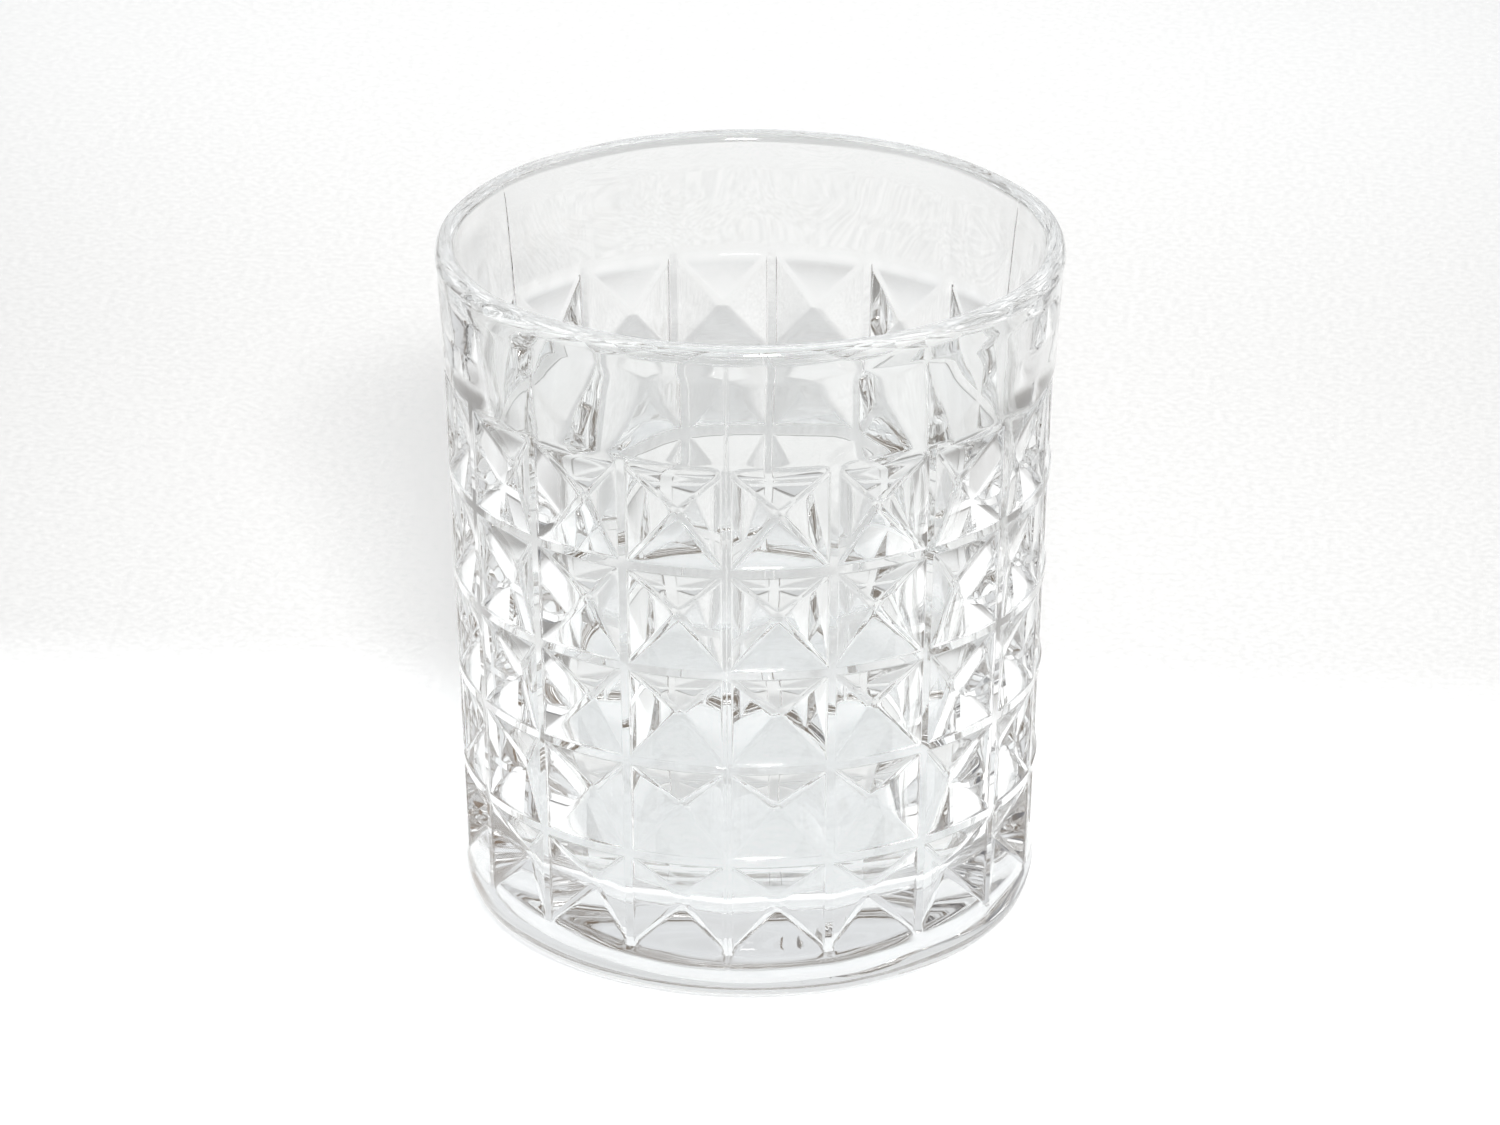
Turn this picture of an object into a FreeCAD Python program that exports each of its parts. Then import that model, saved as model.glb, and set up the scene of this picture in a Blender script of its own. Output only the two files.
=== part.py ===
import FreeCAD, Part
import math
import os
import Sketcher

# Pressed-glass whiskey tumbler, one solid. Millimetres, +Z up, origin at the centre of the
# plane it stands on. The -Y axis passes through an upright ridge between two columns of pits.
#
# The side is a slim cone with five rows of square pyramid pits pressed into it. The mould that
# presses them is modelled first: one upright wedge for each column, notched into a pyramid for
# each row. The cup is then turned, pressed by the mould, and rounded at the rim, foot and floor.

# Driving dimensions: alias, value.
DIMENSIONS = [
    ("height", 93.8),
    ("rim_radius", 41.0),
    ("rim_wall", 2.7),
    ("lip_rounding", 1.2),
    ("shoulder_radius", 39.93),
    ("shoulder_inner_radius", 36.0),
    ("base_radius", 37.35),
    ("base_corner_radius", 5.8),
    ("foot_inner_radius", 27.0),
    ("punt_height", 1.2),
    ("floor_height", 11.0),
    ("floor_radius", 31.5),
    ("floor_corner_radius", 6.0),
    ("pit_columns", 18),
    ("pattern_bottom", 8.1),
    ("lower_rows", 3),
    ("lower_row_height", 13.4),
    ("upper_rows", 2),
    ("upper_row_height", 14.3),
    ("pit_depth", 2.5),
    ("ridge_land", 0.8),
    ("mould_cover", 1.5),
]

# Dimensions that follow from the driving ones: alias, formula. The furrow gap is how far the
# mould stands clear of the glass at a ridge, which leaves the ridge its narrow flat land.
DERIVED = [
    ("rim_inner_radius", "=rim_radius - rim_wall"),
    ("shoulder_height", "=pattern_bottom + lower_rows * lower_row_height + upper_rows * upper_row_height"),
    ("side_taper", "=(shoulder_radius - base_radius) / shoulder_height"),
    ("furrow_gap", "=pit_depth * ridge_land / (lower_row_height - ridge_land)"),
    ("column_step", "=360deg / pit_columns"),
]


def add_dimensions(doc):
    """The spreadsheet, with the name of each dimension in column A and its value in column B."""
    sheet = doc.addObject("Spreadsheet::Sheet", "Dimensions")
    for row, (alias, content) in enumerate(DIMENSIONS + DERIVED, start=1):
        sheet.set(f"A{row}", alias)
        sheet.set(f"B{row}", str(content))
        sheet.setAlias(f"B{row}", alias)
    doc.recompute()
    return sheet


def cell(alias):
    """What an expression calls a dimension."""
    return f"Dimensions.{alias}"


def side_radius(level):
    """Expression for the radius of the smooth tapered side at the height that level gives."""
    return f"({cell('base_radius')} + ({level}) * {cell('side_taper')})"


def origin_feature(body, role):
    """A plane or an axis of the body's own origin."""
    return next(feature for feature in body.Origin.OriginFeatures if feature.Role == role)


def add_polygon(body, name, plane, corners):
    """A closed sketch with a corner at each (x, y) pair of expressions."""
    sketch = body.newObject("Sketcher::SketchObject", name)
    sketch.AttachmentSupport = [(origin_feature(body, plane), "")]
    sketch.MapMode = "FlatFace"
    # The corners start on a circle, and the constraints then draw each one to its place.
    turn = 2 * math.pi / len(corners)
    start = [FreeCAD.Vector(math.cos(turn * index), math.sin(turn * index), 0)
             for index in range(len(corners))]
    for index in range(len(corners)):
        sketch.addGeometry(Part.LineSegment(start[index - 1], start[index]), False)
    for index in range(len(corners)):
        previous = (index - 1) % len(corners)
        sketch.addConstraint(Sketcher.Constraint("Coincident", previous, 2, index, 1))
    for index, corner in enumerate(corners):
        for direction, expression in zip(("DistanceX", "DistanceY"), corner):
            number = sketch.addConstraint(Sketcher.Constraint(direction, -1, 1, index, 2, 1.0))
            sketch.setExpression(f"Constraints[{number}]", expression)
    return sketch


def add_revolved(body, feature_type, name, sketch):
    """A full turn of the sketch about the tumbler's axis."""
    feature = body.newObject(feature_type, name)
    feature.Profile = sketch
    feature.ReferenceAxis = (origin_feature(body, "Z_Axis"), [""])
    feature.Angle = 360.0
    body.Document.recompute()
    return feature


def check_removed(before, after):
    """A cut that points away from the solid removes nothing and reports no error."""
    if after.Shape.Volume > before.Shape.Volume - 1.0:
        raise RuntimeError(f"{after.Name} removed nothing")


def add_wedge_section(body, name, level):
    """The mould's wedge at one height: it comes to a point at the bottom of a pit.

    Its two flanks pass through the edges of the lands on the ridges at each side."""
    half_angle = f"({cell('column_step')} / 2 - asin({cell('ridge_land')} / 2 / {side_radius(level)}))"
    land_x = f"{side_radius(level)} * cos({half_angle})"
    land_y = f"{side_radius(level)} * sin({half_angle})"
    point_x = f"({side_radius(level)} - {cell('pit_depth')})"
    outer_x = f"({side_radius(level)} + {cell('mould_cover')})"
    outer_y = f"({land_y} * ({outer_x} - {point_x}) / ({land_x} - {point_x}))"
    sketch = add_polygon(body, name, "XY_Plane",
                         [(point_x, "0"), (outer_x, f"-{outer_y}"), (outer_x, outer_y)])
    sketch.setExpression("AttachmentOffset.Base.z", level)
    return sketch


def notch_corners(row_heights):
    """Half-section of the metal to turn out of the wedges, which leaves a pyramid in each row."""
    inner_radius = f"{cell('base_radius')} / 2"
    furrow = cell("pattern_bottom")
    below = f"{furrow} - {cell('mould_cover')}"
    corners = [(inner_radius, below), (side_radius(below), below),
               (f"{side_radius(furrow)} + {cell('furrow_gap')}", furrow)]
    for row_height in row_heights:
        crest = f"({furrow} + {cell(row_height)} / 2)"
        furrow = f"({furrow} + {cell(row_height)})"
        corners.append((f"{side_radius(crest)} - {cell('pit_depth')}", crest))
        corners.append((f"{side_radius(furrow)} + {cell('furrow_gap')}", furrow))
    corners.append((inner_radius, furrow))
    return corners


def build_pit_mould(doc, sheet):
    """The patterned face of the mould. The first wedge points along +X."""
    body = doc.addObject("PartDesign::Body", "PitMould")
    wedge = body.newObject("PartDesign::AdditiveLoft", "Wedge")
    wedge.Profile = add_wedge_section(body, "WedgeBottom", cell("pattern_bottom"))
    wedge.Sections = [add_wedge_section(body, "WedgeTop", cell("shoulder_height"))]
    wedge.Ruled = True
    doc.recompute()

    wedges = body.newObject("PartDesign::PolarPattern", "Wedges")
    wedges.Originals = [wedge]
    wedges.Axis = (origin_feature(body, "Z_Axis"), [""])
    wedges.Angle = 360.0
    wedges.setExpression("Occurrences", cell("pit_columns"))
    body.Tip = wedges
    doc.recompute()

    row_heights = (["lower_row_height"] * int(sheet.get("lower_rows"))
                   + ["upper_row_height"] * int(sheet.get("upper_rows")))
    notches = add_polygon(body, "NotchProfile", "XZ_Plane", notch_corners(row_heights))
    pyramids = add_revolved(body, "PartDesign::Groove", "Pyramids", notches)
    check_removed(wedges, pyramids)
    return body


def circles_at(shape, radius, level):
    """Names of the shape's circular edges with this radius at this height."""
    names = []
    for number, edge in enumerate(shape.Edges, start=1):
        is_circle = isinstance(edge.Curve, Part.Circle)
        if is_circle and math.hypot(edge.Curve.Radius - radius, edge.Curve.Center.z - level) < 0.01:
            names.append(f"Edge{number}")
    return names


def add_fillet(body, name, base, circles, radius):
    """Round the circular edges that the (radius, height) pairs give."""
    fillet = body.newObject("PartDesign::Fillet", name)
    fillet.Base = (base, [edge for circle in circles for edge in circles_at(base.Shape, *circle)])
    fillet.setExpression("Radius", cell(radius))
    body.Document.recompute()
    return fillet


def build_glass_body(doc, sheet, mould):
    """The glass itself: a turned cup with the mould's pyramids pressed into its side."""
    body = doc.addObject("PartDesign::Body", "GlassBody")
    body.Label = "glass_body"
    profile = add_polygon(body, "CupProfile", "XZ_Plane", [
        ("0", cell("punt_height")),
        (cell("foot_inner_radius"), "0"),
        (cell("base_radius"), "0"),
        (cell("shoulder_radius"), cell("shoulder_height")),
        (cell("rim_radius"), cell("height")),
        (cell("rim_inner_radius"), cell("height")),
        (cell("shoulder_inner_radius"), cell("shoulder_height")),
        (cell("floor_radius"), cell("floor_height")),
        ("0", cell("floor_height")),
    ])
    cup = add_revolved(body, "PartDesign::Revolution", "Cup", profile)
    pressed = body.newObject("PartDesign::Boolean", "PressedPits")
    pressed.setObjects([mould])
    pressed.Type = "Cut"
    doc.recompute()
    check_removed(cup, pressed)

    height = sheet.get("height")
    lip = add_fillet(body, "RoundedLip", pressed,
                     [(sheet.get("rim_radius"), height), (sheet.get("rim_inner_radius"), height)],
                     "lip_rounding")
    foot = add_fillet(body, "RoundedFoot", lip, [(sheet.get("base_radius"), 0.0)], "base_corner_radius")
    add_fillet(body, "RoundedFloor", foot, [(sheet.get("floor_radius"), sheet.get("floor_height"))],
               "floor_corner_radius")
    return body


def check_document(doc, parts):
    """Stop if a feature failed to rebuild, or if a part isn't one sound solid."""
    for feature in doc.Objects:
        if {"Invalid", "Error"} & set(feature.State):
            raise RuntimeError(f"{feature.Name} is {feature.State}")
    for part in parts:
        if part.Shape.isNull() or not part.Shape.isValid() or len(part.Shape.Solids) != 1:
            raise RuntimeError(f"{part.Label} is not one valid solid")


def export(parts):
    """Write each part to a STEP file that has the part's label as its name."""
    os.makedirs("parts", exist_ok=True)
    for part in parts:
        part.Shape.exportStep(f"parts/{part.Label}.step")
        print(f"{part.Label}: {part.Shape.Volume / 1000:.1f} cm3, {len(part.Shape.Faces)} faces")


def build():
    doc = FreeCAD.newDocument("WhiskeyTumbler")
    sheet = add_dimensions(doc)
    mould = build_pit_mould(doc, sheet)
    parts = [build_glass_body(doc, sheet, mould)]
    doc.recompute()
    check_document(doc, parts)
    export(parts)


build()
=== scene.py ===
import math

import bpy
import numpy as np
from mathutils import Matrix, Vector, noise


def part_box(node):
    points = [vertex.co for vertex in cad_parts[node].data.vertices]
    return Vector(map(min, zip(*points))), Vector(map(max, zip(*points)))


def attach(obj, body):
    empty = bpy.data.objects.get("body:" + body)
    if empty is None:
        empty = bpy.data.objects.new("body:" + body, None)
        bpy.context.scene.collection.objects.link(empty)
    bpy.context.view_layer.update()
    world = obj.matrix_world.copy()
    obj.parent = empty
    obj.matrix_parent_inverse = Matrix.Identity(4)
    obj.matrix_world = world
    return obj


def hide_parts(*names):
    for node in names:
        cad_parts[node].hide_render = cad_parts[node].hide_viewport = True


# A clear pressed-glass whiskey tumbler. Its side carries rows of square pits, each an inverted
# pyramid between raised ridges. Lengths are in metres, +Z is up, and -Y passes through a ridge.
# A turn counts columns of pits round the tumbler from that ridge.

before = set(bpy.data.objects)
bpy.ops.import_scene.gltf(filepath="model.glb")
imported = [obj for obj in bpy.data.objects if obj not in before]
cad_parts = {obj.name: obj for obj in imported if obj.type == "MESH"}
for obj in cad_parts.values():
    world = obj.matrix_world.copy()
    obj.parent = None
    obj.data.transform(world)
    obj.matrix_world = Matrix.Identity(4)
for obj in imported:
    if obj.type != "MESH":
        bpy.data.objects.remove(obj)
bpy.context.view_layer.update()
MM = 0.001

glass_low, glass_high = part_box("glass_body")
HEIGHT = glass_high[2] - glass_low[2]
RIM_RADIUS = (glass_high[0] - glass_low[0]) / 2

# The turned shape, as the CAD model has it.
BASE_RADIUS = 37.35 * MM
SHOULDER_RADIUS = 39.93 * MM
RIM_WALL = 2.7 * MM
SHOULDER_INNER_RADIUS = 36.0 * MM
FLOOR_HEIGHT = 11.0 * MM
FLOOR_RADIUS = 31.5 * MM
FLOOR_CORNER = 6.0 * MM
FOOT_INNER_RADIUS = 27.0 * MM
PUNT_HEIGHT = 1.2 * MM

# The grid of pits: three rows, then two taller ones, up to the shoulder.
COLUMNS = 18
PIT_DEPTH = 2.5 * MM
PATTERN_BOTTOM = 8.1 * MM
ROW_HEIGHTS = [13.4 * MM] * 3 + [14.3 * MM] * 2
ROW_LINES = PATTERN_BOTTOM + np.cumsum([0.0] + ROW_HEIGHTS)
SHOULDER_HEIGHT = ROW_LINES[-1]

# A pit's section. Widths are shares of half a pit, and heights are shares of its depth.
SAG = 0.24        # a facet's middle lies a quarter of this below a flat facet
LAND = 0.095      # half-width of the raised land along a ridge, to the middle of its flank
STEP = 0.065      # how far the land stands above the facets' edges
FLANK = 0.05      # width of the steep flank at each side of the land
HOLLOW = 0.07     # half-width of the flat at the bottom of a pit
CHAMFER = 0.085   # half-width of the narrow flat along a valley between two facets
EDGE = 0.02       # over what height the edges of that flat are rounded off
BAND_EASE = 0.5 * MM  # the same where the highest facets meet the band above them
RUN_OUT = math.radians(40)  # how steeply the ridges fall away past the ends of the pattern

# The foot, the lip and the bend in the inner wall.
FOOT_TANGENT = 0.8  # where the foot's curve meets the lowest facet, as a share of half a pit
LIP_HEIGHT = 2.4 * MM
LIP_INNER_HEIGHT = 1.6 * MM
LIP_RINGS = 0.03 * MM  # depth of the faint rings that fire polishing leaves on the lip
WALL_BEND = 0.5 * MM

# The mould's three joints leave fine upright seams on the ridges, worn down in places.
SEAMS = 3
SEAM_HEIGHT = 0.12 * MM
SEAM_HALF_WIDTH = 0.017  # as a share of half a pit
SEAM_LEAN = 2.0          # sideways slope of the normal on the seam's crest
SEAM_WEAR = 0.45
SEAM_WEAR_SIZE = 1.1 * MM

# Pressing leaves the glass a little uneven: the depth and the size of its slow waves.
SIDE_RIPPLE = 0.04 * MM
SIDE_RIPPLE_SIZE = 9 * MM
WALL_RIPPLE = 0.28 * MM
WALL_RIPPLE_SIZE = 15 * MM
EVEN_RADIUS = 0.9 * FLOOR_RADIUS  # inside this, the floor and the underside are even

# How finely the surface is divided. A pit's mesh is a nest of squares at these shares of its
# half-width; a square's corners are divided at these distances, which line up with the flats.
NEST = [0.07, 0.14, 0.20, 0.30, 0.42, 0.54, 0.66, 0.77, 0.84, 0.88, 0.905, 0.93,
        1 - SEAM_HALF_WIDTH, 1.0]
CORNER = [0.0, SEAM_HALF_WIDTH, 0.065, 0.105, 0.25, 0.5, 0.75]
CORNER_KEPT = CORNER[3]  # up to here the points keep their distance from the corner
CORE = 0.20              # squares smaller than this are scaled copies of the one this size
EASE_SPAN = 3 * BAND_EASE  # just above the shoulder, the band's rings stand closer together
FOOT_RINGS = 3
EASE_STEPS = 5
BAND_STEPS = 9
FOOT_STEPS = 10
LIP_STEPS = 11
WALL_STEPS = 22
FLOOR_CORNER_STEPS = 9
FLAT_STEPS = 7

# Slopes are taken as the change over a short stride.
FACET_STRIDE = 0.01  # as a share of half a pit
NUDGE = 0.002 * MM


def smooth_max(a, b, blend):
    """The larger of a and b, with the change from one to the other rounded off."""
    gap = np.abs(a - b)
    return np.maximum(a, b) + np.where(gap < blend, (blend - gap) ** 2 / (4 * blend), 0.0)


def smooth_min(a, b, blend):
    """The smaller of a and b, rounded off in the same way."""
    return -smooth_max(-a, -b, blend)


def facet_rise(a):
    """How far a facet has risen at the share a of the way from the pit's middle to its ridge."""
    return a - SAG * a * (1 - a)


RISE_LOW, RISE_HIGH = facet_rise(HOLLOW), facet_rise(1 - LAND)


def open_facet(x):
    """Profile of a facet with no ridge: 0 at the pit's flat, 1 - STEP at the land, and on past both."""
    return (1 - STEP) * (facet_rise(np.abs(x)) - RISE_LOW) / (RISE_HIGH - RISE_LOW)


def pit_profile(x):
    """Profile across a pit, -1..1: the facets and the raised lands of its two ridges."""
    x = np.clip(x, -1, 1)
    climb = np.clip((np.abs(x) - (1 - LAND)) / FLANK + 0.5, 0, 1)
    return np.minimum(open_facet(x), 1 - STEP) + STEP * climb * climb * (3 - 2 * climb)


def side_radius(z):
    """Radius of the smooth cone that the ridges' lands lie on."""
    return BASE_RADIUS + z * (SHOULDER_RADIUS - BASE_RADIUS) / SHOULDER_HEIGHT


def band_radius(z):
    """Radius of the smooth band between the pits and the rim."""
    share = (z - SHOULDER_HEIGHT) / (HEIGHT - SHOULDER_HEIGHT)
    return SHOULDER_RADIUS + share * (RIM_RADIUS - SHOULDER_RADIUS)


# The lowest facets run straight into the rounded foot, so the foot's curve is tangent to them.
LOWEST_HALF = (ROW_LINES[1] - ROW_LINES[0]) / 2
FOOT_TOP = ROW_LINES[0] + LOWEST_HALF * (1 - FOOT_TANGENT)
FOOT_TOP_RADIUS = side_radius(FOOT_TOP) - PIT_DEPTH * (1 - open_facet(FOOT_TANGENT))
FACET_CLIMB = PIT_DEPTH * (open_facet(FOOT_TANGENT + FACET_STRIDE) - open_facet(FOOT_TANGENT))
FACET_ANGLE = math.atan(FACET_CLIMB / (FACET_STRIDE * LOWEST_HALF))
FOOT_ROUNDING = FOOT_TOP / (1 + math.sin(FACET_ANGLE))
FOOT_CENTRE_RADIUS = FOOT_TOP_RADIUS - FOOT_ROUNDING * math.cos(FACET_ANGLE)

# The inner wall leans out more above the shoulder than below it.
LOWER_LEAN = (SHOULDER_INNER_RADIUS - FLOOR_RADIUS) / (SHOULDER_HEIGHT - FLOOR_HEIGHT)
UPPER_LEAN = (RIM_RADIUS - RIM_WALL - SHOULDER_INNER_RADIUS) / (HEIGHT - SHOULDER_HEIGHT)


def wall_radius(z):
    """Radius of the inner wall."""
    lower = FLOOR_RADIUS + (z - FLOOR_HEIGHT) * LOWER_LEAN
    upper = SHOULDER_INNER_RADIUS + (z - SHOULDER_HEIGHT) * UPPER_LEAN
    return smooth_max(lower, upper, WALL_BEND)


def ring_radius(z):
    """Radius at the middle of a column of pits: the foot, the rows of pits and the band."""
    row = np.clip(np.searchsorted(ROW_LINES, z, side="right") - 1, 0, len(ROW_HEIGHTS) - 1)
    v = 2 * (z - ROW_LINES[row]) / (ROW_LINES[row + 1] - ROW_LINES[row]) - 1
    radius = side_radius(z) - PIT_DEPTH * (1 - pit_profile(v))
    # The lowest facet has no ridge under it, and the highest one eases into the band.
    facet = side_radius(z) - PIT_DEPTH * (1 - open_facet(v))
    radius = np.where((row == 0) & (v < 0), facet, radius)
    band = np.where(z > SHOULDER_HEIGHT, band_radius(z), side_radius(z))
    eased = smooth_min(facet, band, BAND_EASE)
    radius = np.where((row == len(ROW_HEIGHTS) - 1) & (v > 0), eased, radius)
    lift = np.clip((z - FOOT_ROUNDING) / FOOT_ROUNDING, -1, 1)
    foot = FOOT_CENTRE_RADIUS + FOOT_ROUNDING * np.sqrt(1 - lift * lift)
    return np.where(z < FOOT_TOP, foot, radius)


def flute_radius(turn, z):
    """Radius of the side if it had only upright flutes, with no rows."""
    radius = side_radius(z) - PIT_DEPTH * (1 - pit_profile(2 * (turn - np.floor(turn)) - 1))
    past_end = np.maximum(0.0, PATTERN_BOTTOM - z) + np.maximum(0.0, z - SHOULDER_HEIGHT)
    return radius - past_end * math.tan(RUN_OUT)


def outer_radius(turn, z):
    """Radius of the whole outer surface at this turn and height."""
    ring, flute = ring_radius(z), flute_radius(turn, z)
    sharp = np.maximum(ring, flute)
    chamfer = (ring + flute) / 2 + CHAMFER * PIT_DEPTH / 2
    cut = smooth_max(sharp, chamfer, EDGE * PIT_DEPTH)
    cut = smooth_max(cut, side_radius(z) - PIT_DEPTH, HOLLOW * PIT_DEPTH)
    # The flats in the valleys never raise the ridges that they end at.
    return np.minimum(cut, np.maximum(sharp, side_radius(z)))


def turn_angle(turn):
    """The angle from +X, anticlockwise, that a turn stands at."""
    return -math.pi / 2 + 2 * math.pi * turn / COLUMNS


def ripple(angle, z, size, seed):
    """A slow, shallow unevenness, -1 to 1, as pressing leaves in glass."""
    reach = RIM_RADIUS / size
    return noise.noise(Vector((math.cos(angle) * reach, math.sin(angle) * reach, z / size + seed)))


def seam_height(turn, z):
    """How far a seam stands out of the side here. Only the points on its crest are raised."""
    apart = COLUMNS / SEAMS
    off_crest = 2 * abs((turn + apart / 2) % apart - apart / 2)
    if off_crest > SEAM_HALF_WIDTH / 2:
        return 0.0
    seed = 7.0 * round(turn)  # each seam is worn in its own way
    wear = SEAM_WEAR * (1 - noise.noise(Vector((seed, 0.0, z / SEAM_WEAR_SIZE))))
    return SEAM_HEIGHT * (1 - wear)


def square_side(size):
    """Where one side of a nested square is divided, from its corner at -size to just before size."""
    if size < CORE:
        return [place * size / CORE for place in square_side(CORE)]
    before = [distance - size if distance <= CORNER_KEPT
              else (CORNER_KEPT - size) * (1 - distance) / (1 - CORNER_KEPT)
              for distance in CORNER]
    return before + [0.0] + [-place for place in reversed(before[1:])]


def nested_square(size):
    """The (u, v) points of one square of a pit's mesh, anticlockwise from its lower left corner."""
    side = square_side(size)
    return ([(place, -size) for place in side] + [(size, place) for place in side]
            + [(-place, size) for place in side] + [(-size, -place) for place in side])


def ring_turns():
    """The turns of the points of a whole ring, the same as along the edges of the pits."""
    return [column + (place + 1) / 2 for column in range(COLUMNS) for place in square_side(1.0)]


def arc(centre, radii, start, end, steps):
    """Points (r, z) along an elliptical arc of the half-section, its angles in degrees from outward."""
    angles = [math.radians(start + (end - start) * index / steps) for index in range(steps + 1)]
    return [(centre[0] + radii[0] * math.cos(a), centre[1] + radii[1] * math.sin(a)) for a in angles]


def profile_below():
    """Half-section from the middle of the underside to the foot's widest point."""
    points = []
    for index in range(1, FLAT_STEPS + 1):
        share = index / FLAT_STEPS
        points.append((FOOT_INNER_RADIUS * share, PUNT_HEIGHT * (1 - share ** 2) ** 2))
    foot = arc((FOOT_CENTRE_RADIUS, FOOT_ROUNDING), (FOOT_ROUNDING, FOOT_ROUNDING), -90, 0, FOOT_STEPS)
    return points + foot[:-1]


def profile_lip():
    """Half-section over the lip, with its faint rings, from its outside to its inside."""
    middle = RIM_RADIUS - RIM_WALL / 2
    points = arc((middle, HEIGHT - LIP_HEIGHT), (RIM_WALL / 2, LIP_HEIGHT), 0, 90, LIP_STEPS)
    points += arc((middle, HEIGHT - LIP_INNER_HEIGHT), (RIM_WALL / 2, LIP_INNER_HEIGHT),
                  90, 180, LIP_STEPS)[1:]
    # Every other point is sunk a little, and the ones at the top of the lip the most.
    for index in range(1, len(points), 2):
        r, z = points[index]
        sunk = LIP_RINGS * math.sin(math.pi * index / (len(points) - 1))
        points[index] = (middle + (r - middle) * (1 - sunk / RIM_WALL), z - sunk)
    return points


def profile_inside():
    """Half-section from the outside of the lip, over it, down the inner wall to the floor's middle."""
    points = profile_lip()
    # The floor's corner is tangent to the sloping wall.
    lean = math.atan(LOWER_LEAN)
    corner_radius = FLOOR_RADIUS - FLOOR_CORNER * math.tan((math.pi / 2 - lean) / 2)
    corner = arc((corner_radius, FLOOR_HEIGHT + FLOOR_CORNER), (FLOOR_CORNER, FLOOR_CORNER),
                 -math.degrees(lean), -90, FLOOR_CORNER_STEPS)
    for z in np.linspace(HEIGHT - LIP_INNER_HEIGHT, corner[0][1], WALL_STEPS, endpoint=False)[1:]:
        points.append((float(wall_radius(z)), float(z)))
    points += corner
    for index in range(1, FLAT_STEPS):
        points.append((corner_radius * (1 - index / FLAT_STEPS), FLOOR_HEIGHT))
    return points


class GlassMesh:
    """Collects the tumbler's points and faces.

    The points of the outer side are shared by position. Each is held as a turn and a height until
    place_side gives it its place."""

    def __init__(self):
        self.points = []
        self.faces = []
        self.side = {}
        self.normals = {}

    def add(self, point):
        """Index of a new point."""
        self.points.append(point)
        return len(self.points) - 1

    def side_point(self, turn, z):
        """Index of the point of the outer side at this turn and height."""
        key = (round(turn % COLUMNS, 5) % COLUMNS, round(z, 8))
        if key not in self.side:
            self.side[key] = self.add((turn % COLUMNS, z))
        return self.side[key]

    def side_ring(self, z):
        """A ring of points of the outer side."""
        return [self.side_point(turn, z) for turn in ring_turns()]

    def plain_ring(self, r, z):
        """A ring of points on a surface of revolution, with its slow unevenness if it is a wall."""
        ring = []
        for turn in ring_turns():
            angle = turn_angle(turn)
            radius = r
            if r > EVEN_RADIUS:
                radius += WALL_RIPPLE * ripple(angle, z, WALL_RIPPLE_SIZE, seed=5.0)
            ring.append(self.add((radius * math.cos(angle), radius * math.sin(angle), z)))
        return ring

    def join(self, lower, upper):
        """Faces between two rings of the same length."""
        for here in range(len(lower)):
            after = (here + 1) % len(lower)
            self.faces.append((lower[here], lower[after], upper[after], upper[here]))

    def close(self, centre, ring, upward):
        """A fan of triangles from a ring to its centre."""
        for here in range(len(ring)):
            after = (here + 1) % len(ring)
            pair = (ring[here], ring[after]) if upward else (ring[after], ring[here])
            self.faces.append((centre, *pair))

    def add_pit(self, column, low, high):
        """One pit between two row lines, as a nest of squares."""
        def point(u, v):
            return self.side_point(column + (u + 1) / 2, (low + high) / 2 + v * (high - low) / 2)
        rings = [[point(u, v) for u, v in nested_square(size)] for size in NEST]
        self.close(point(0.0, 0.0), rings[0], upward=True)
        for inner, outer in zip(rings, rings[1:]):
            for here in range(len(inner)):
                after = (here + 1) % len(inner)
                self.faces.append((inner[here], outer[here], outer[after], inner[after]))

    def place_side(self):
        """Give the outer side's points their positions, and those of the pattern exact normals."""
        indices = list(self.side.values())
        turns = np.array([self.points[index][0] for index in indices])
        levels = np.array([self.points[index][1] for index in indices])
        radii = outer_radius(turns, levels)
        # How fast the radius changes going up, and going round.
        slopes = (outer_radius(turns, levels + NUDGE) - outer_radius(turns, levels - NUDGE)) / (2 * NUDGE)
        step = NUDGE / BASE_RADIUS * COLUMNS / (2 * math.pi)
        swings = (outer_radius(turns + step, levels) - outer_radius(turns - step, levels)) / (2 * NUDGE)
        for index, turn, z, radius, slope, swing in zip(indices, turns, levels, radii, slopes, swings):
            angle = turn_angle(turn)
            raised = seam_height(turn, z)
            radius += raised + SIDE_RIPPLE * ripple(angle, z, SIDE_RIPPLE_SIZE, seed=2.0)
            outward = (math.cos(angle), math.sin(angle))
            self.points[index] = (radius * outward[0], radius * outward[1], z)
            if z > PATTERN_BOTTOM and (z < SHOULDER_HEIGHT or raised):
                normal = Vector((1.0, SEAM_LEAN * raised / SEAM_HEIGHT - swing, -slope)).normalized()
                self.normals[index] = (normal.x * outward[0] - normal.y * outward[1],
                                       normal.x * outward[1] + normal.y * outward[0], normal.z)


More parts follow.
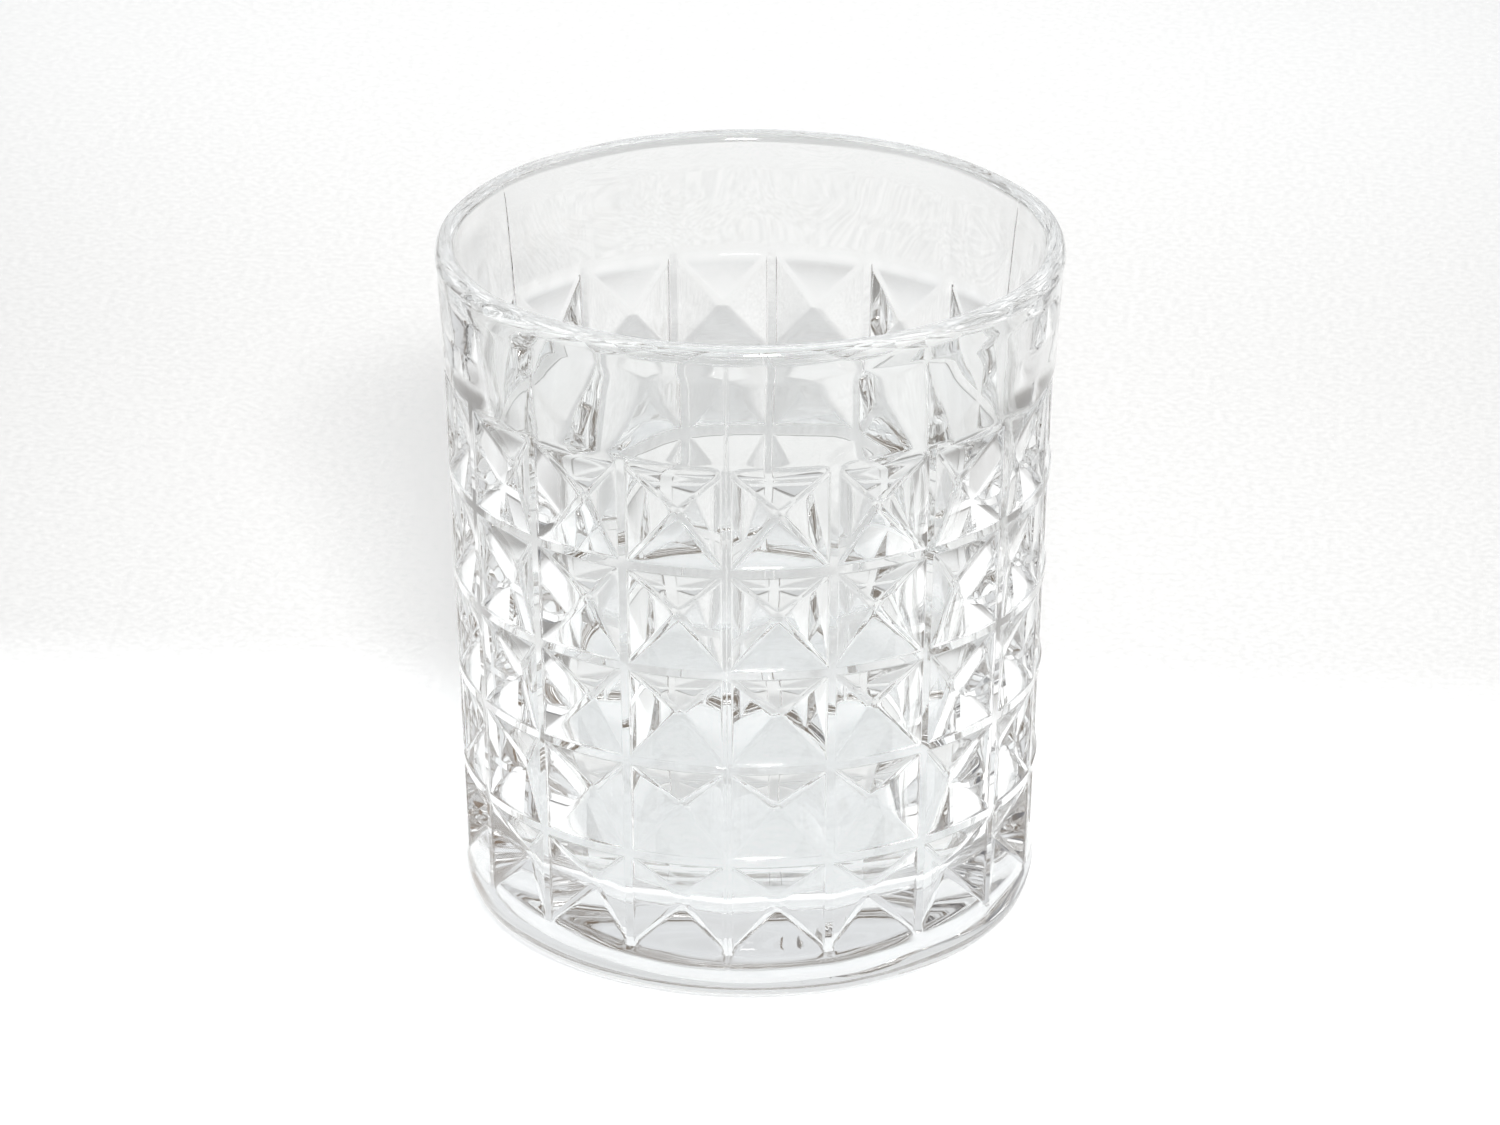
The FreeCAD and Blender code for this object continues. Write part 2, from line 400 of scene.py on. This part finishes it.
def collect_glass():
    """The whole tumbler as one closed surface."""
    mesh = GlassMesh()
    under = [mesh.plain_ring(r, z) for r, z in profile_below()]
    foot = [mesh.side_ring(z) for z in np.linspace(FOOT_ROUNDING, PATTERN_BOTTOM, FOOT_RINGS)]
    ease_top = SHOULDER_HEIGHT + EASE_SPAN
    levels = list(np.linspace(SHOULDER_HEIGHT, ease_top, EASE_STEPS, endpoint=False))
    levels += list(np.linspace(ease_top, HEIGHT - LIP_HEIGHT, BAND_STEPS, endpoint=False))
    band = [mesh.side_ring(z) for z in levels]
    inside = [mesh.plain_ring(r, z) for r, z in profile_inside()]
    for rings in (under + foot, band + inside):
        for lower, upper in zip(rings, rings[1:]):
            mesh.join(lower, upper)
    for low, high in zip(ROW_LINES, ROW_LINES[1:]):
        for column in range(COLUMNS):
            mesh.add_pit(column, low, high)
    mesh.close(mesh.add((0.0, 0.0, PUNT_HEIGHT)), under[0], upward=False)
    mesh.close(mesh.add((0.0, 0.0, FLOOR_HEIGHT)), inside[-1], upward=True)
    mesh.place_side()
    return mesh


def build_glass():
    """The tumbler's object, smooth-shaded with the pattern's exact normals."""
    mesh = collect_glass()
    data = bpy.data.meshes.new("tumbler_glass")
    data.from_pydata([tuple(map(float, point)) for point in mesh.points], [], mesh.faces)
    data.validate()
    data.polygons.foreach_set("use_smooth", [True] * len(data.polygons))
    data.update()
    normals = np.array([vertex.normal[:] for vertex in data.vertices])
    for index, normal in mesh.normals.items():
        normals[index] = normal
    data.normals_split_custom_set_from_vertices(normals.tolist())
    piece = bpy.data.objects.new("tumbler_glass", data)
    bpy.context.collection.objects.link(piece)
    return piece


def clear_glass():
    """Clear pressed glass: a faint cool tint, and a polish that varies a little over the surface."""
    material = bpy.data.materials.new("clear_pressed_glass")
    material.use_nodes = True
    nodes, links = material.node_tree.nodes, material.node_tree.links
    shader = nodes["Principled BSDF"]
    shader.inputs["Base Color"].default_value = (0.950, 0.957, 0.956, 1.0)
    shader.inputs["Transmission Weight"].default_value = 1.0
    shader.inputs["IOR"].default_value = 1.52
    where = nodes.new("ShaderNodeTexCoord")
    ripples = nodes.new("ShaderNodeTexNoise")
    ripples.inputs["Scale"].default_value = 90.0
    ripples.inputs["Detail"].default_value = 1.0
    links.new(where.outputs["Object"], ripples.inputs["Vector"])
    polish = nodes.new("ShaderNodeMapRange")
    polish.inputs["From Min"].default_value = 0.35
    polish.inputs["From Max"].default_value = 0.75
    polish.inputs["To Min"].default_value = 0.0
    polish.inputs["To Max"].default_value = 0.02
    links.new(ripples.outputs["Fac"], polish.inputs["Value"])
    links.new(polish.outputs["Result"], shader.inputs["Roughness"])
    bump = nodes.new("ShaderNodeBump")
    bump.inputs["Strength"].default_value = 0.25
    bump.inputs["Distance"].default_value = 0.15 * MM
    links.new(ripples.outputs["Fac"], bump.inputs["Height"])
    links.new(bump.outputs["Normal"], shader.inputs["Normal"])
    return material


# The table: a paper-like surface with a painted pool of light, a glow round the tumbler that
# no lamp casts. Each row of the fades below changes the glow along one direction, which is given
# first. Up to the second value along it the glow is as it was, and from the third on it is
# multiplied by the fourth; where the third is the smaller, the order is the other way round.
FLOOR_SIZE = 1.6
FLOOR_DROP = 0.05 * MM  # just clear of the foot, so that the two surfaces don't coincide
PAINTED_POOL_GLOW = 0.52
TO_RIGHT = (1.0, 0.02, 0.0)
TO_LEFT = (-1.0, -0.13, 0.0)
TO_FRONT = (0.0, -1.0, 0.0)
TO_BACK = (0.0, 1.0, 0.0)
PAINTED_POOL_FADES = (
    (TO_RIGHT, 0.105, 0.19, 0.0),
    (TO_LEFT, 0.105, 0.19, 0.0),
    (TO_FRONT, 0.08, 0.22, 0.0),
    (TO_BACK, 0.38, 0.70, 0.0),
    (TO_BACK, 0.36, 0.18, 0.76),   # painted shade: dimmer up to some way behind the tumbler, round its shadow
    (TO_BACK, 0.085, 0.045, 1.7),  # painted light: brighter under it and in front of it, for light the glass lets through
)


def add_painted_light_pool(nodes, links, place):
    """The strength of the table's glow, a painted pool of light, at a place on it."""
    strength = nodes.new("ShaderNodeValue").outputs["Value"]
    strength.default_value = PAINTED_POOL_GLOW
    for direction, unchanged, changed, factor in PAINTED_POOL_FADES:
        along = nodes.new("ShaderNodeVectorMath")
        along.operation = "DOT_PRODUCT"
        along.inputs[1].default_value = direction
        links.new(place, along.inputs[0])
        fade = nodes.new("ShaderNodeMapRange")
        fade.interpolation_type = "SMOOTHSTEP"
        fade.inputs["From Min"].default_value = changed
        fade.inputs["From Max"].default_value = unchanged
        fade.inputs["To Min"].default_value = factor
        links.new(along.outputs["Value"], fade.inputs["Value"])
        faded = nodes.new("ShaderNodeMath")
        faded.operation = "MULTIPLY"
        links.new(strength, faded.inputs[0])
        links.new(fade.outputs["Result"], faded.inputs[1])
        strength = faded.outputs["Value"]
    return strength


def paper_with_painted_light():
    """Pale paper with a fine mottle, glowing in a painted pool of light."""
    material = bpy.data.materials.new("pale_floor_with_painted_light")
    material.use_nodes = True
    nodes, links = material.node_tree.nodes, material.node_tree.links
    shader = nodes["Principled BSDF"]
    where = nodes.new("ShaderNodeTexCoord")
    mottle = nodes.new("ShaderNodeTexNoise")
    mottle.inputs["Scale"].default_value = 900.0
    mottle.inputs["Detail"].default_value = 2.0
    links.new(where.outputs["Object"], mottle.inputs["Vector"])
    paper = nodes.new("ShaderNodeValToRGB")
    paper.color_ramp.elements[0].position = 0.35
    paper.color_ramp.elements[0].color = (0.585, 0.58, 0.57, 1.0)
    paper.color_ramp.elements[1].position = 0.65
    paper.color_ramp.elements[1].color = (0.70, 0.695, 0.685, 1.0)
    links.new(mottle.outputs["Fac"], paper.inputs["Fac"])
    links.new(paper.outputs["Color"], shader.inputs["Base Color"])
    shader.inputs["Roughness"].default_value = 0.9
    # Painted light: the paper glows in a pool round the tumbler, as no lamp lights it.
    shader.inputs["Emission Color"].default_value = (0.96, 0.99, 1.01, 1.0)
    links.new(add_painted_light_pool(nodes, links, where.outputs["Object"]), shader.inputs["Emission Strength"])
    return material


def pale_floor_with_painted_light():
    """A plain pale surface under the tumbler; its glow is a painted pool of light."""
    mesh = bpy.data.meshes.new("floor")
    corners = [(-FLOOR_SIZE, -FLOOR_SIZE), (FLOOR_SIZE, -FLOOR_SIZE),
               (FLOOR_SIZE, FLOOR_SIZE), (-FLOOR_SIZE, FLOOR_SIZE)]
    mesh.from_pydata([(x, y, -FLOOR_DROP) for x, y in corners], [], [(0, 1, 2, 3)])
    floor = bpy.data.objects.new("floor", mesh)
    bpy.context.collection.objects.link(floor)
    floor.data.materials.append(paper_with_painted_light())
    return floor


# The room: a pale sky that darkens towards the camera and the two sides. Each row is an axis,
# where the sky starts to darken along it, where it is at its darkest, and the shade there.
SKY_STRENGTH = 0.82
DARK_SIDES = (
    ("Y", 0.05, -0.35, (0.16, 0.11, 0.065, 1.0)),
    ("X", -0.62, -0.92, (0.13, 0.13, 0.15, 1.0)),
    ("X", 0.66, 0.92, (0.24, 0.16, 0.10, 1.0)),
)


def add_room():
    """A white backdrop behind, dark sides, and a dark, warm room on the camera's side.

    Rays that the glass throws wide come back dark and draw its ridges, as black cards beside a
    white backdrop do."""
    world = bpy.data.worlds.new("studio")
    bpy.context.scene.world = world
    world.use_nodes = True
    nodes, links = world.node_tree.nodes, world.node_tree.links
    where = nodes.new("ShaderNodeTexCoord")
    split = nodes.new("ShaderNodeSeparateXYZ")
    links.new(where.outputs["Generated"], split.inputs["Vector"])
    tone = nodes.new("ShaderNodeValToRGB")
    tone.color_ramp.elements[0].position = 0.15
    tone.color_ramp.elements[0].color = (0.88, 0.89, 0.90, 1.0)
    tone.color_ramp.elements[1].position = 0.65
    tone.color_ramp.elements[1].color = (1.0, 1.02, 1.04, 1.0)
    links.new(split.outputs["Z"], tone.inputs["Fac"])
    colour = tone.outputs["Color"]
    for axis, start, darkest, shade in DARK_SIDES:
        side = nodes.new("ShaderNodeMapRange")
        side.interpolation_type = "SMOOTHSTEP"
        side.inputs["From Min"].default_value = start
        side.inputs["From Max"].default_value = darkest
        links.new(split.outputs[axis], side.inputs["Value"])
        shaded = nodes.new("ShaderNodeMixRGB")
        shaded.inputs["Color2"].default_value = shade
        links.new(side.outputs["Result"], shaded.inputs["Fac"])
        links.new(colour, shaded.inputs["Color1"])
        colour = shaded.outputs["Color"]
    links.new(colour, nodes["Background"].inputs["Color"])
    nodes["Background"].inputs["Strength"].default_value = SKY_STRENGTH


# A row of soft lamps behind and above the camera, aimed just behind the tumbler.
LAMP_AZIMUTHS = (4.0, 7.5, 11.0, 14.5)  # degrees round from -Y
LAMPS_POWER = 330.0  # of all of them together
LAMP_RADIUS = 0.10
LAMP_REACH = 2.4
LAMP_HEIGHT = 1.40
LAMP_CONE = math.radians(9.4)
LAMP_TARGET = Vector((0.0, 0.12, 0.0))


def add_lamps():
    """The lamps light a pool on the table and throw the tumbler's shadow behind it."""
    for azimuth in LAMP_AZIMUTHS:
        light = bpy.data.lights.new("key_lamp", "SPOT")
        light.energy = LAMPS_POWER / len(LAMP_AZIMUTHS)
        light.color = (1.0, 0.99, 0.98)
        light.shadow_soft_size = LAMP_RADIUS
        light.spot_size = LAMP_CONE
        light.spot_blend = 1.0
        lamp = bpy.data.objects.new("key_lamp", light)
        angle = math.radians(azimuth)
        lamp.location = (LAMP_REACH * math.sin(angle), -LAMP_REACH * math.cos(angle), LAMP_HEIGHT)
        lamp.rotation_euler = (LAMP_TARGET - lamp.location).to_track_quat("-Z", "Y").to_euler()
        bpy.context.collection.objects.link(lamp)


# The photograph's view: from a little above and a few degrees round from the front ridge.
CAMERA_AZIMUTH = math.radians(4.345)
CAMERA_ELEVATION = math.radians(22.9)
CAMERA_DISTANCE = 1.103
CAMERA_AIM = 0.5075  # as a share of the tumbler's height
CAMERA_LENS = 201.0
CAMERA_SENSOR = 36.0


def add_camera():
    """A long lens, about a metre from the tumbler."""
    data = bpy.data.cameras.new("camera")
    data.sensor_width = CAMERA_SENSOR
    data.lens = CAMERA_LENS
    camera = bpy.data.objects.new("camera", data)
    bpy.context.collection.objects.link(camera)
    target = Vector((0, 0, HEIGHT * CAMERA_AIM))
    flat = CAMERA_DISTANCE * math.cos(CAMERA_ELEVATION)
    camera.location = target + Vector((flat * math.sin(CAMERA_AZIMUTH), -flat * math.cos(CAMERA_AZIMUTH),
                                       CAMERA_DISTANCE * math.sin(CAMERA_ELEVATION)))
    camera.rotation_euler = (target - camera.location).to_track_quat("-Z", "Y").to_euler()
    bpy.context.scene.camera = camera


glass = build_glass()
glass.data.materials.append(clear_glass())
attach(glass, "root")
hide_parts("glass_body")
pale_floor_with_painted_light()
add_room()
add_lamps()
add_camera()
bpy.context.scene.view_settings.view_transform = "Standard"
# Light crosses the thick glass many times before it leaves.
bpy.context.scene.cycles.max_bounces = 32
bpy.context.scene.cycles.glossy_bounces = 32
bpy.context.scene.cycles.transmission_bounces = 32
